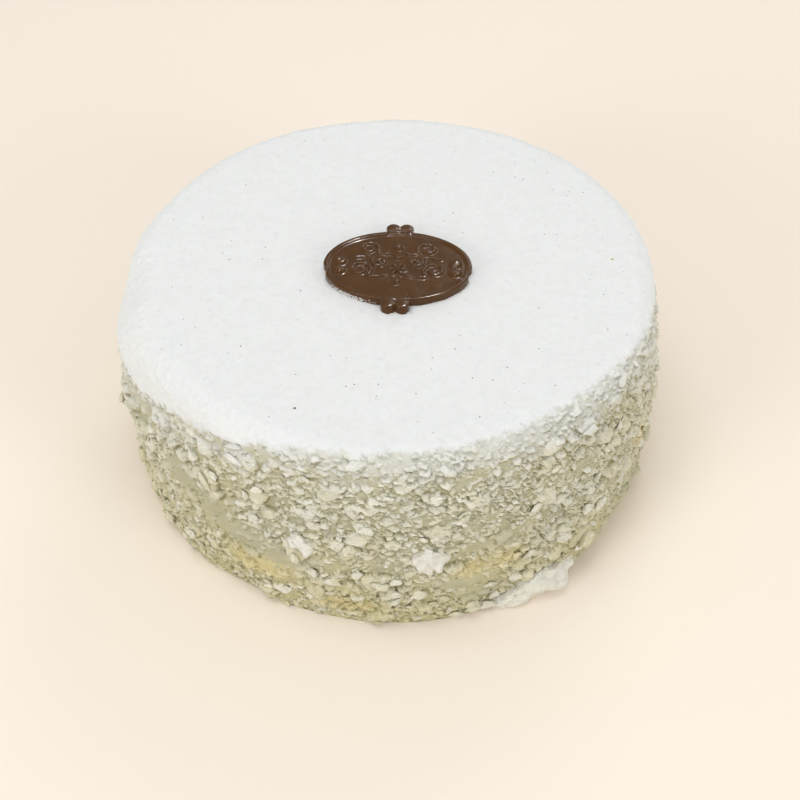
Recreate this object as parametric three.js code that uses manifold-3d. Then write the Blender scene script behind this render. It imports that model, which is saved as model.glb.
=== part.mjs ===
// A round meringue cake, 20 cm across: a tall sponge and cream cake under a smooth coat of
// icing sugar, its side covered in crushed meringue, with three larger pieces of meringue
// stuck to the side and a moulded chocolate plaque lying on top.
// Millimetres, +Z up. The origin is the middle of the flat base, and the front faces -Y.
// Azimuths are in degrees, 0 at the front and growing towards +X.

import * as THREE from 'three';
import { mergeVertices } from 'three/addons/utils/BufferGeometryUtils.js';
import Module from 'manifold-3d';

const wasm = await Module();
wasm.setup();

// ---- driving dimensions of the cake -------------------------------------------------------

const CAKE_HEIGHT = 85.6;
const BASE_FLAT_RADIUS = 98.6; // the flat that the cake stands on
const FOOT_RADIUS = 101.4; // where the side meets the base
const FOOT_HEIGHT = 1.6;
const BELLY_RADIUS = 102.3; // the widest part of the side
const BELLY_HEIGHT = 26;
const SHOULDER_RADIUS = 99.4; // where the side starts to round over
const RIM_ROUND = 9;
const SHOULDER_HEIGHT = CAKE_HEIGHT - RIM_ROUND;

// slow waves round the outline: how many, how deep and where they start
const OUTLINE_WAVES = [
  { count: 3, depth: 0.5, start: 1.1 },
  { count: 5, depth: 0.4, start: 2.3 },
  { count: 7, depth: 0.3, start: 0.4 },
];

// hand-made swellings and hollows of the side: middle, reach along and up, and push outwards
const SWELLINGS = [
  { azimuth: -74, height: 70, along: 26, up: 13, push: 3.6 }, // overhang at the left shoulder
  { azimuth: -71, height: 50, along: 8, up: 6, push: 1.5 }, // lump below it
  { azimuth: -73, height: 42, along: 24, up: 14, push: 3.3 }, // bulging left side
  { azimuth: -74, height: 9, along: 30, up: 10, push: 2.5 },
  { azimuth: -84, height: 84, along: 14, up: 8, push: -5.0 }, // dent in the rim above them
  { azimuth: -45, height: 4, along: 30, up: 12, push: 1.7 },
  { azimuth: 76, height: 78, along: 40, up: 15, push: -0.8 },
  { azimuth: 74, height: 38, along: 40, up: 22, push: 1.3 },
  { azimuth: -33, height: 2, along: 12, up: 8, push: -1.7 },
  { azimuth: 57, height: 0, along: 32, up: 8, push: -2.2 }, // undercut foot at the right
  { azimuth: 40, height: 10, along: 30, up: 10, push: 2.2 }, // foot behind the largest piece
];

const SEGMENTS = 96; // steps round the cake
const SIDE_ROWS = 11;
const ROW_TWIST = 0.5; // each row is turned by half a step, so that the triangles are even
const RIM_ROWS = 3;
const TOP_RINGS = [84, 66]; // radii of the rings on the top, flat inside the last
const TOP_WAVE = 0.5; // depth of the waves on the top near the rim

const RELIEF_CELL = 7.5; // size of the bumps of the crushed coat
const RELIEF_DEPTH = 1.9;

// crumbs fused to the side, largest first
const CRUMB_COUNT = 144;
const CRUMB_LONGEST = 10.5;
const CRUMB_SHORTEST = 6.0;
const CRUMB_LOWEST = 4;
const CRUMB_HIGHEST = 79;
const EVEN_TURN = 0.5698403; // steps of an even spread, as shares of the round and of the height
const EVEN_CLIMB = 0.7548777;
const CRUMB_THICKNESS = 0.7; // as a share of its breadth
const CRUMB_SUNK = 0.3; // share of a crumb's thickness by which its middle lies under the coat

// flakes that stand out on the side: length and breadth in mm, lean in degrees
const FLAKES = [
  { azimuth: -31, height: 73, length: 12, breadth: 5, lean: -12 },
  { azimuth: -39, height: 53, length: 11, breadth: 5, lean: -35 },
  { azimuth: 41, height: 76, length: 8, breadth: 6, lean: 10 },
  { azimuth: 42, height: 18, length: 12, breadth: 8, lean: 30 },
  { azimuth: -2, height: 27, length: 11, breadth: 5, lean: -15 },
  { azimuth: 0, height: 18, length: 9, breadth: 7, lean: 0 },
  { azimuth: 46, height: 31, length: 9, breadth: 7, lean: 20 },
];

// larger pieces of meringue, each a piece of its own: half sizes along, up and outwards
const PIECE_GAP = 0.3;
const PIECES = [
  { name: 'meringue_piece_1', azimuth: 30.3, height: 5.5, radius: 102.4, along: 18.2, up: 6.6,
    out: 5.4, climb: 0.16, taper: 0.35, detail: 3 },
  { name: 'meringue_piece_2', azimuth: 7, height: 38.6, radius: 102.4, along: 6.2, up: 6.6,
    out: 4.2, climb: 0.1, taper: 0.2, detail: 2 },
  { name: 'meringue_piece_3', azimuth: -17.7, height: 41.6, radius: 102, along: 4.8, up: 3.5,
    out: 3.3, climb: -0.2, taper: 0.1, detail: 2 },
];
const PIECE_ROUGHNESS = 0.16; // share of its size by which a piece's surface wanders

// ---- driving dimensions of the chocolate plaque -------------------------------------------

const PLAQUE_X = 2.0;
const PLAQUE_Y = -7.2;
const PLAQUE_TURN = -2.8; // degrees
const PLAQUE_HALF_WIDTH = 27.2;
const PLAQUE_HALF_DEPTH = 19.4;
const PLAQUE_THICKNESS = 3.6;
const PLAQUE_SEGMENTS = 90;
const LOBE_RADIUS = 2.7;
const LOBE_OUT = 20.9; // from the plaque's middle to the middle of a lobe, front and back
const LOBE_APART = 2.5; // from the plaque's axis to the middle of a lobe
const NOTCH_LEVEL = -3; // the side notches lie this far in front of the middle
const NOTCH_DEPTH = 1.7;
const NOTCH_HALF_ANGLE = 6; // degrees
const EDGE_ROUND = 0.5;
const RIM_WIDTH = 1.1;
const FACE_SUNK = 0.6; // the face lies this far below the rim
const BOSS_RADIUS = 2.5;
const BUTTON_RISE = 1.1; // of the bosses, beads and petals above the face
const BOSS_X = 21.2;
const BOSS_YS = [1.7, -3.4];
const RIDGE_RADIUS = 0.75;
const RIDGE_SIDES = 6;

// scrolls moulded on the face, mirrored left and right: middle, size, turns, start angle, and
// where the tail begins
const SCROLLS = [
  { x: 13.6, y: -2.6, size: 4.3, turns: 1.3, start: 215, tailX: 3.6, tailY: -5.6 },
  { x: 6.6, y: 1.8, size: 2.7, turns: 1.1, start: 20, tailX: 15.4, tailY: 3.8 },
  { x: 10.8, y: 9.2, size: 3.7, turns: 1.25, start: 200, tailX: 3.4, tailY: 6.4 },
];
const SCROLL_STEPS = 8;
// petals of the rosette between them: reach from its middle, half length, half width
const ROSETTE_Y = -2.4;
const PETALS = 6;
const PETAL_OUT = 2.3;
const PETAL_LENGTH = 1.5;
const PETAL_WIDTH = 0.8;
const BEADS = [
  { x: 0, y: ROSETTE_Y, radius: 1.0 },
  { x: 0, y: 4.4, radius: 1.2 },
  { x: 0, y: 10.4, radius: 1.9 },
  { x: 0, y: -9.4, radius: 1.3 },
];

const degrees = THREE.MathUtils.degToRad;

// ---- helpers ------------------------------------------------------------------------------

// a repeatable draw between 0 and 1 for one or two whole numbers
function draw(index, stream, row = 0) {
  const wave = Math.sin(index * 12.9898 + stream * 78.233 + row * 37.719) * 43758.5453;
  return wave - Math.floor(wave);
}

// smooth noise between -1 and 1 on a grid of cells that closes on itself after `around` cells
function coatNoise(across, up, around, stream) {
  const column = Math.floor(across);
  const row = Math.floor(up);
  const ease = (t) => t * t * (3 - 2 * t);
  const sx = ease(across - column);
  const sy = ease(up - row);
  const corner = (i, j) => draw(((column + i) % around + around) % around, stream, row + j);
  const low = THREE.MathUtils.lerp(corner(0, 0), corner(1, 0), sx);
  const high = THREE.MathUtils.lerp(corner(0, 1), corner(1, 1), sx);
  return 2 * THREE.MathUtils.lerp(low, high, sy) - 1;
}

// a closed three.js geometry as a solid
function solid(geometry) {
  const bare = geometry.clone();
  bare.deleteAttribute('normal');
  bare.deleteAttribute('uv');
  const merged = mergeVertices(bare, 1e-4);
  const index = merged.index.array;
  const triangles = [];
  for (let i = 0; i < index.length; i += 3) {
    const [a, b, c] = [index[i], index[i + 1], index[i + 2]];
    if (a !== b && b !== c && c !== a) triangles.push(a, b, c);
  }
  const mesh = new wasm.Mesh({
    numProp: 3,
    vertProperties: new Float32Array(merged.attributes.position.array),
    triVerts: new Uint32Array(triangles),
  });
  return new wasm.Manifold(mesh);
}

// the solid's largest body as a three.js geometry: scraps are dropped, sealed hollows filled
function geometryOf(whole) {
  const bodies = whole.decompose().sort((a, b) => b.volume() - a.volume());
  const mesh = bodies[0].getMesh();
  const geometry = new THREE.BufferGeometry();
  geometry.setAttribute('position', new THREE.BufferAttribute(mesh.vertProperties, 3));
  geometry.setIndex(new THREE.BufferAttribute(mesh.triVerts, 1));
  return geometry;
}

function joinAll(solids) {
  return solids.reduce((whole, next) => whole.add(next));
}

// moves every vertex by a rule that takes and returns a Vector3
function reshape(geometry, rule) {
  const position = geometry.attributes.position;
  const point = new THREE.Vector3();
  for (let i = 0; i < position.count; i += 1) {
    point.fromBufferAttribute(position, i);
    rule(point, i);
    position.setXYZ(i, point.x, point.y, point.z);
  }
  return geometry;
}

// a lathe turned about +Z: azimuth 0 at the front (-Y), growing towards +X
function lathe(profile, segments) {
  return new THREE.LatheGeometry(profile, segments).rotateX(Math.PI / 2);
}

function onSide(azimuth, radius, height) {
  return new THREE.Vector3(radius * Math.sin(azimuth), -radius * Math.cos(azimuth), height);
}

// ---- the cake -----------------------------------------------------------------------------

// radius of the plain side at a height below the shoulder
function sideRadius(height) {
  const above = height > BELLY_HEIGHT;
  const end = above ? SHOULDER_HEIGHT : 0;
  const endRadius = above ? SHOULDER_RADIUS : FOOT_RADIUS;
  const share = (height - BELLY_HEIGHT) / (end - BELLY_HEIGHT);
  return BELLY_RADIUS - (BELLY_RADIUS - endRadius) * share * share;
}

// how far the outline swells at an azimuth (radians) and a height
function swell(azimuth, height) {
  let push = 0;
  for (const wave of OUTLINE_WAVES) push += wave.depth * Math.sin(wave.count * azimuth + wave.start);
  for (const spot of SWELLINGS) {
    const turn = Math.atan2(Math.sin(azimuth - degrees(spot.azimuth)),
      Math.cos(azimuth - degrees(spot.azimuth)));
    const along = (turn * BELLY_RADIUS) / spot.along;
    const up = (height - spot.height) / spot.up;
    push += spot.push * Math.exp(-along * along - up * up);
  }
  return push;
}

// bumps of the crushed coat, fading out over the rim
function relief(azimuth, height) {
  const around = Math.round((2 * Math.PI * BELLY_RADIUS) / RELIEF_CELL);
  const across = (azimuth / (2 * Math.PI)) * around;
  const bump = coatNoise(across, height / (0.75 * RELIEF_CELL), around, 3);
  const fade = THREE.MathUtils.clamp((CAKE_HEIGHT - 3 - height) / RIM_ROUND, 0, 1);
  return RELIEF_DEPTH * bump * fade;
}

function coatRadius(azimuth, height) {
  return sideRadius(Math.min(height, SHOULDER_HEIGHT)) + swell(azimuth, height);
}

function cakeBody() {
  const profile = [new THREE.Vector2(0, 0), new THREE.Vector2(BASE_FLAT_RADIUS, 0)];
  for (let row = 0; row <= SIDE_ROWS; row += 1) {
    const height = THREE.MathUtils.lerp(FOOT_HEIGHT, SHOULDER_HEIGHT, row / SIDE_ROWS);
    profile.push(new THREE.Vector2(sideRadius(height), height));
  }
  for (let row = 1; row <= RIM_ROWS; row += 1) {
    const angle = (row / RIM_ROWS) * (Math.PI / 2);
    profile.push(new THREE.Vector2(
      SHOULDER_RADIUS - RIM_ROUND * (1 - Math.cos(angle)),
      SHOULDER_HEIGHT + RIM_ROUND * Math.sin(angle),
    ));
  }
  for (const radius of TOP_RINGS) profile.push(new THREE.Vector2(radius, CAKE_HEIGHT));
  profile.push(new THREE.Vector2(0, CAKE_HEIGHT));

  const innerRing = TOP_RINGS[TOP_RINGS.length - 1];
  return reshape(lathe(profile, SEGMENTS), (point, number) => {
    const radius = Math.hypot(point.x, point.y);
    const twist = (number % profile.length) * ROW_TWIST * ((2 * Math.PI) / SEGMENTS);
    const azimuth = Math.atan2(point.x, -point.y) + twist;
    const onTop = point.z > CAKE_HEIGHT - 0.01;
    if (point.z < FOOT_HEIGHT / 2 || (onTop && radius <= innerRing + 0.01)) {
      point.copy(onSide(azimuth, radius, point.z));
      return;
    }
    const share = onTop ? (radius - innerRing) / (SHOULDER_RADIUS - RIM_ROUND - innerRing) : 1;
    const push = share * swell(azimuth, point.z) + (onTop ? 0 : relief(azimuth, point.z));
    const wave = onTop ? TOP_WAVE * Math.sin(4 * azimuth + 0.09 * radius) : 0;
    point.copy(onSide(azimuth, radius + push, point.z + wave));
  });
}

// one crumb or flake stuck to the side
function crumb(spot, number) {
  const azimuth = degrees(spot.azimuth);
  const thickness = CRUMB_THICKNESS * spot.breadth;
  const shape = reshape(new THREE.IcosahedronGeometry(0.5, 0), (point) => {
    const corner = Math.round(40 * point.x + 90 * point.y + 200 * point.z);
    point.multiplyScalar(0.85 + 0.4 * draw(corner, number + 11));
  });
  shape.scale(spot.length, spot.breadth, thickness);
  shape.rotateZ(degrees(spot.lean));
  shape.rotateX(Math.PI / 2);
  shape.rotateZ(azimuth);
  shape.computeBoundingBox();
  const lowest = 0.4 - shape.boundingBox.min.z;
  const height = Math.max(spot.height, lowest);
  const radius = coatRadius(azimuth, height) + (0.5 - CRUMB_SUNK) * thickness;
  const place = onSide(azimuth, radius, height);
  return solid(shape.translate(place.x, place.y, place.z));
}

// crumbs spread evenly up and round the side
function crumbSpots() {
  const spots = [];
  for (let i = 0; i < CRUMB_COUNT; i += 1) {
    const rank = i / (CRUMB_COUNT - 1);
    const length = THREE.MathUtils.lerp(CRUMB_LONGEST, CRUMB_SHORTEST, Math.sqrt(rank));
    const level = (i * EVEN_CLIMB + 0.03 * draw(i, 1)) % 1;
    spots.push({
      azimuth: 360 * i * EVEN_TURN + 6 * (draw(i, 2) - 0.5),
      height: THREE.MathUtils.lerp(CRUMB_LOWEST, CRUMB_HIGHEST, level),
      length,
      breadth: length * (0.55 + 0.25 * draw(i, 5)),
      lean: 50 * (draw(i, 6) - 0.5),
    });
  }
  return spots;
}

// ---- the larger meringue pieces -----------------------------------------------------------

// a lumpy piece that follows the curve of the side; `extra` makes it larger all round
function meringuePiece(piece, extra) {
  const middle = degrees(piece.azimuth);
  const floor = -extra;
  return reshape(new THREE.IcosahedronGeometry(1, piece.detail), (point) => {
    const wander = 1 + PIECE_ROUGHNESS * (Math.sin(5.1 * point.x + 3.3 * point.y)
      + Math.sin(4.3 * point.z - 6.1 * point.y) * Math.cos(7.2 * point.x));
    const slim = 1 + piece.taper * point.x;
    const along = point.x * (piece.along + extra);
    const up = point.y * (piece.up * wander * slim + extra) + piece.climb * along;
    const out = point.z * (piece.out * wander * slim + extra);
    const height = Math.max(piece.height + up, floor);
    point.copy(onSide(middle + along / piece.radius, piece.radius + out, height));
  });
}

// ---- the chocolate plaque -----------------------------------------------------------------

function ellipseReach(angle) {
  return 1 / Math.hypot(Math.cos(angle) / PLAQUE_HALF_WIDTH, Math.sin(angle) / PLAQUE_HALF_DEPTH);
}

// distance from the middle to the far side of a circle along a ray, or 0 if the ray misses it
function circleReach(angle, x, y, radius) {
  const along = x * Math.cos(angle) + y * Math.sin(angle);
  const off = x * Math.sin(angle) - y * Math.cos(angle);
  if (along < 0 || Math.abs(off) > radius) return 0;
  return along + Math.sqrt(radius * radius - off * off);
}

// the plaque's outline: an oval with two round lobes at the front and back, notched at the ends
function plaqueReach(angle) {
  let reach = ellipseReach(angle);
  for (const side of [-1, 1]) {
    const notch = Math.atan2(NOTCH_LEVEL, side * PLAQUE_HALF_WIDTH);
    const off = Math.abs(Math.atan2(Math.sin(angle - notch), Math.cos(angle - notch)));
    reach -= NOTCH_DEPTH * Math.max(0, 1 - off / degrees(NOTCH_HALF_ANGLE));
  }
  for (const x of [-LOBE_APART, LOBE_APART]) {
    for (const y of [-LOBE_OUT, LOBE_OUT]) {
      reach = Math.max(reach, circleReach(angle, x, y, LOBE_RADIUS));
    }
  }
  return reach;
}

function plaquePlate() {
  const top = PLAQUE_THICKNESS;
  const face = top - FACE_SUNK;
  // rows of the profile: whether they follow the outer edge, how far in from it, and height
  const rows = [
    { outer: true, inset: EDGE_ROUND, height: 0 },
    { outer: true, inset: 0, height: EDGE_ROUND },
    { outer: true, inset: 0, height: top - EDGE_ROUND },
    { outer: true, inset: EDGE_ROUND, height: top },
    { outer: false, inset: EDGE_ROUND + RIM_WIDTH, height: top },
    { outer: false, inset: EDGE_ROUND + RIM_WIDTH + FACE_SUNK, height: face },
  ];
  const profile = [new THREE.Vector2(0, 0)];
  rows.forEach((row, number) => profile.push(new THREE.Vector2(number + 1, row.height)));
  profile.push(new THREE.Vector2(0, face));
  return reshape(new THREE.LatheGeometry(profile, PLAQUE_SEGMENTS).rotateX(Math.PI / 2), (point) => {
    const number = Math.round(Math.hypot(point.x, point.y));
    if (number === 0) return;
    const row = rows[number - 1];
    const angle = Math.atan2(point.y, point.x);
    const reach = (row.outer ? plaqueReach(angle) : ellipseReach(angle)) - row.inset;
    point.set(reach * Math.cos(angle), reach * Math.sin(angle), row.height);
  });
}

// a low button on the face, round or stretched along a direction
function button(x, y, length, width, turn = 0) {
  const face = PLAQUE_THICKNESS - FACE_SUNK;
  const shape = new THREE.SphereGeometry(1, 8, 4).rotateX(Math.PI / 2);
  shape.scale(length, width, BUTTON_RISE).rotateZ(turn);
  return solid(shape.translate(x, y, face));
}

// one scroll: a tail that sweeps out of the middle and rolls up into a spiral
function scroll(spec, mirror) {
  const points = [new THREE.Vector3(spec.tailX, spec.tailY, 0)];
  for (let step = 0; step <= SCROLL_STEPS; step += 1) {
    const share = step / SCROLL_STEPS;
    const angle = degrees(spec.start) - share * spec.turns * 2 * Math.PI;
    const size = spec.size * (1 - 0.75 * share);
    points.push(new THREE.Vector3(spec.x + size * Math.cos(angle), spec.y + size * Math.sin(angle), 0));
  }
  for (const point of points) point.x *= mirror;
  const path = new THREE.CatmullRomCurve3(points);
  const section = new THREE.Shape();
  for (let side = 0; side < RIDGE_SIDES; side += 1) {
    const angle = (side / RIDGE_SIDES) * 2 * Math.PI;
    const place = [RIDGE_RADIUS * Math.cos(angle), RIDGE_RADIUS * Math.sin(angle)];
    if (side === 0) section.moveTo(...place);
    else section.lineTo(...place);
  }
  const ridge = new THREE.ExtrudeGeometry(section, {
    steps: 2 * SCROLL_STEPS, extrudePath: path, bevelEnabled: false,
  });
  return solid(ridge.translate(0, 0, PLAQUE_THICKNESS - FACE_SUNK));
}

function plaqueSolid() {
  const parts = [solid(plaquePlate())];
  for (const mirror of [-1, 1]) {
    for (const y of BOSS_YS) parts.push(button(mirror * BOSS_X, y, BOSS_RADIUS, BOSS_RADIUS));
    for (const spec of SCROLLS) parts.push(scroll(spec, mirror));
  }
  for (const bead of BEADS) parts.push(button(bead.x, bead.y, bead.radius, bead.radius));
  for (let petal = 0; petal < PETALS; petal += 1) {
    const turn = (petal / PETALS) * 2 * Math.PI;
    const x = PETAL_OUT * Math.cos(turn);
    const y = ROSETTE_Y + PETAL_OUT * Math.sin(turn);
    parts.push(button(x, y, PETAL_LENGTH, PETAL_WIDTH, turn));
  }
  return joinAll(parts);
}

// ---- the whole cake -----------------------------------------------------------------------

const icing = new THREE.MeshStandardMaterial({ color: 0xe9e6da, roughness: 0.9, metalness: 0 });
const meringue = new THREE.MeshStandardMaterial({ color: 0xece8df, roughness: 0.85, metalness: 0 });
const chocolate = new THREE.MeshStandardMaterial({ color: 0x553826, roughness: 0.3, metalness: 0 });

const group = new THREE.Group();

function addMesh(name, geometry, material) {
  const mesh = new THREE.Mesh(geometry, material);
  mesh.name = name;
  group.add(mesh);
  return mesh;
}

const grains = [...FLAKES, ...crumbSpots()].map((spot, number) => crumb(spot, number));
let coated = joinAll([solid(cakeBody()), ...grains]);
for (const piece of PIECES) coated = coated.subtract(solid(meringuePiece(piece, PIECE_GAP)));
addMesh('cake', geometryOf(coated), icing);

for (const piece of PIECES) {
  addMesh(piece.name, geometryOf(solid(meringuePiece(piece, 0))), meringue);
}

const plaque = addMesh('chocolate_plaque', geometryOf(plaqueSolid()), chocolate);
plaque.position.set(PLAQUE_X, PLAQUE_Y, CAKE_HEIGHT + PIECE_GAP);
plaque.rotation.z = degrees(PLAQUE_TURN);

export default group;
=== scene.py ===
"""Looks of a round meringue cake: icing sugar, crushed meringue coat and a chocolate plaque.

Lengths of the cake are in millimetres, and MM turns them into metres for Blender. The cake
stands on z = 0 with its axis at the origin and its front facing -Y. Azimuths are in degrees in
the named values and in radians in the functions, 0 at the front and growing towards +X.
"""
import math
from collections import namedtuple

import bmesh
import bpy
import numpy as np
from mathutils import Euler, Matrix, Vector


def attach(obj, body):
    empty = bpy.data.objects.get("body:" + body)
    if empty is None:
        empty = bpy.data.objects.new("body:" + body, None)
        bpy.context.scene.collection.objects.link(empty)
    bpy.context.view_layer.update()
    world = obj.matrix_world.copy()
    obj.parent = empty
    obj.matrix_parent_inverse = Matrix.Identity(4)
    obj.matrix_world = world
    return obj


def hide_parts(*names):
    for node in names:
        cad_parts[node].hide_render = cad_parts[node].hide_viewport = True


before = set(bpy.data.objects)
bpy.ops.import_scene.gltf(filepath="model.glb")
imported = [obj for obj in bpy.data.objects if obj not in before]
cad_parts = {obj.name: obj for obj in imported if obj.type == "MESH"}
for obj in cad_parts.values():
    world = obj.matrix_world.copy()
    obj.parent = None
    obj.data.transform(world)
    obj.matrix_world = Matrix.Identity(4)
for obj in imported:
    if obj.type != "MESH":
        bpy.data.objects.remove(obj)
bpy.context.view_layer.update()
MM = 0.001
FULL_TURN = 2 * math.pi
SEED = 71

# ---- the cake's form, as in the construction ------------------------------------------------

CAKE_HEIGHT = 85.6
BASE_FLAT_RADIUS = 98.6
FOOT_RADIUS = 101.4
BELLY_RADIUS = 102.3
BELLY_HEIGHT = 26.0
SHOULDER_RADIUS = 99.4
RIM_ROUND = 9.0
FLAT_RADIUS = SHOULDER_RADIUS - RIM_ROUND
SHOULDER_HEIGHT = CAKE_HEIGHT - RIM_ROUND
RIM_ARC = RIM_ROUND * math.pi / 2
WHOLE_DROP = RIM_ARC + SHOULDER_HEIGHT

# slow waves round the outline: how many, how deep and where they start
OUTLINE_WAVES = [(3, 0.5, 1.1), (5, 0.4, 2.3), (7, 0.3, 0.4)]

# swellings and hollows of the side, listed one by one: azimuth, height, reach along, reach up, push
SWELLINGS = [
    (-74, 70, 26, 13, 3.6),
    (-71, 50, 8, 6, 1.5),
    (-73, 42, 24, 14, 3.3),
    (-74, 9, 30, 10, 2.5),
    (-84, 84, 14, 8, -5.0),
    (-45, 4, 30, 12, 1.7),
    (76, 78, 40, 15, -0.8),
    (74, 38, 40, 22, 1.3),
    (-33, 2, 12, 8, -1.7),
    (57, 0, 32, 8, -2.2),
    (40, 10, 30, 10, 2.2),
]

# the fused crumbs of the construction, which the large crumbs repeat
CRUMB_COUNT = 144
CRUMB_LENGTHS = (10.5, 6.0)  # of the first and the last
CRUMB_HEIGHTS = (4.0, 79.0)  # of the lowest and the highest
EVEN_TURN = 0.5698403  # these two steps spread any number of places evenly
EVEN_CLIMB = 0.7548777

# flakes that stand out: azimuth, height, length, breadth, lean in degrees
FLAKES = [
    (-31, 73, 12, 5, -12),
    (-39, 53, 11, 5, -35),
    (41, 76, 8, 6, 10),
    (42, 18, 12, 8, 30),
    (-2, 27, 11, 5, -15),
    (0, 18, 9, 7, 0),
    (46, 31, 9, 7, 20),
]

# bright crumbs that stand out: azimuth, height, length, breadth
MARKED_CRUMBS = [
    (-26.9, 61.3, 4.6, 3.6), (-16.1, 73.8, 6.4, 2.6), (-15.9, 57.9, 4.8, 3.0),
    (-4.5, 54.3, 5.2, 2.8), (-10.2, 47.9, 3.0, 2.6), (-16.7, 26.6, 7.2, 3.0),
    (-31.2, 50.2, 4.6, 3.2), (-28.2, 45.8, 5.4, 3.2), (-21.5, 67.6, 3.8, 2.4),
    (-32.0, 76.4, 7.0, 3.2), (-6.7, 82.0, 6.4, 3.8), (-11.7, 23.3, 5.2, 3.0),
    (-6.8, 29.8, 4.2, 3.4), (0.7, 27.4, 5.2, 4.0), (-17.0, 12.0, 3.8, 2.8),
    (-21.9, 11.0, 5.2, 3.6), (-12.2, 16.9, 4.4, 2.4), (-37.4, 57.0, 5.0, 3.0),
    (-54.2, 19.5, 4.0, 3.2), (28.5, 50.3, 9.6, 3.2), (8.5, 68.4, 4.8, 3.8),
    (-0.8, 69.9, 5.4, 2.8), (24.9, 15.8, 5.6, 3.4), (5.0, 19.1, 6.0, 4.4),
    (0.5, 21.3, 4.6, 3.6), (20.2, 16.3, 5.0, 3.4), (16.4, 8.9, 4.0, 3.2),
    (25.2, 28.0, 4.2, 2.8), (28.4, 25.0, 4.8, 3.4), (5.9, 49.1, 3.6, 2.8),
    (44.9, 48.0, 4.6, 3.8), (42.8, 32.0, 6.4, 5.0), (43.5, 41.0, 3.8, 3.4),
    (37.0, 24.0, 6.8, 4.6), (40.4, 15.0, 4.8, 3.6), (52.0, 62.0, 4.6, 3.2),
    (19.6, 3.6, 8.0, 5.6), (16.4, 3.4, 7.0, 5.0), (13.2, 3.0, 5.6, 4.0),
    (11.2, 5.4, 4.2, 3.2), (21.0, 8.2, 5.4, 3.6),
]

# larger pieces of meringue: azimuth, height, radius, half sizes along, up and out, climb, taper
PIECES = {
    "meringue_piece_1": (30.3, 5.5, 102.4, 18.2, 6.6, 5.4, 0.16, 0.35),
    "meringue_piece_2": (7.0, 38.6, 102.4, 6.2, 6.6, 4.2, 0.1, 0.2),
    "meringue_piece_3": (-17.7, 41.6, 102.0, 4.8, 3.5, 3.3, -0.2, 0.1),
}
PIECE_ROUGHNESS = 0.16

# ---- the surface ----------------------------------------------------------------------------

COAT_COLUMNS = 1380  # round the side, shared by COAT_SECTORS pieces
COAT_SECTORS = 3
COAT_START = -6.0  # mm down the rim from the flat top, so this is on the flat
COAT_STEP = 0.5
COAT_SUNK = 0.6  # the cream under the flakes lies this far inside the construction's side
LUMP_STRETCH = 1.7  # how much wider than high the lumps of the coat are
TOP_STEP = 1.6
# rings of the flat top: from and to what radius, and one point for how many columns of the coat
TOP_BANDS = [(1.6, 24.0, 12), (24.0, 54.0, 6), (54.0, 83.0, 3)]

# flakes that build up the coat, smallest first so that the larger lie on top: count, shortest,
# longest, thickest
COAT_LAYERS = [
    (10000, 1.1, 2.0, 0.65),
    (7500, 1.7, 3.2, 1.0),
    (3300, 2.6, 4.8, 1.35),
    (520, 4.2, 7.4, 1.6),
]
FLAKE_REACH = 0.75  # of its length, how far a flake's frayed outline goes from its middle
# how its outline frays: by how many mm and what share of the length at most, and the first of
# the two noises that say where, one along the side and one up it
FRAYS = [(0.8, 0.15, 0), (0.5, 0.24, 2)]
WANDER_SIZES = (2.6, 2.6, 1.2, 1.2)  # of the lumps of those noises
EDGE_STEEPNESS = 3.6  # a flake falls to its edge over one part in so many of its half size
EDGE_ROUNDING = 0.7  # 1 for a straight bevel there, less for a rounder one
FLAKE_BREADTHS = (0.34, 0.66)  # as shares of the length
FLAKE_LEAN = 0.19  # spread, in radians
FLAKE_TIP = (-0.28, 0.25)  # middle and spread of its slope up the side: most stand out below
FLAKE_SWAY = 0.22  # spread of its slope along the side
WHITE_SHARE = 0.18  # of the flakes that are nearly white
LUMP_THICKNESS = 2.4  # of the lumps that stand for the construction's fused crumbs
STRAY_SHARE = 0.08  # of the flakes that lie in the gaps where the cream shows

# lower edge of the thick icing sugar, in mm down the rim from the flat top, and where it spills
# further down the side: azimuth, how much further and over what width in degrees
SUGAR_EDGE = 3.9
SUGAR_SPILLS = [(-72, 22.0, 40), (92, 8.5, 28), (180, 9.5, 62)]
# the thick sugar and the thin dust of it: how far below that edge each ends, over how many mm
# it fades, and how ragged it is there, as depth, size and stream of noises
SUGAR_FALL = (0.0, 6.5, [(1.3, 9, 0), (1.0, 3, 1), (1.2, 1.3, 18)])
DUST_FALL = (13.0, 16.0, [(3.0, 9, 15), (2.0, 3, 16)])
DUST_STRENGTH = 0.42
CALM_BELOW = 7.0  # the coat's relief grows over this many mm below the sugar's edge
CALM_LEAST = 0.45  # share of the relief that it starts with
SUGAR_HEAP = 0.75  # how high the sugar lies against the plaque
SUGAR_HEAP_WIDTH = 1.6

# bare patches where the cream shows: azimuth, height, half width, half height
BARE_PATCHES = [
    (-48, 42, 9, 8), (-39, 37, 12, 8), (-31, 32, 12, 8), (-24, 28, 9, 6),
    (-16, 32, 6, 3), (-27, 20, 12, 4), (13, 22, 9, 4), (22, 41, 10, 4),
    (18, 13, 11, 4), (64, 15, 22, 12), (52, 4, 30, 6), (-64, 52, 7, 6),
    (-118, 30, 14, 8), (104, 52, 10, 6), (168, 38, 16, 7), (-160, 60, 9, 5),
]
# patches of golden crumbs: azimuth, height, half width, half height
GOLDEN_PATCHES = [
    (-28, 19, 17, 6), (16, 29, 9, 5), (23, 28, 8, 5), (-8, 10, 14, 4),
    (64, 40, 8, 5), (-140, 14, 14, 6), (128, 22, 12, 6), (-84, 20, 9, 4),
]

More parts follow.
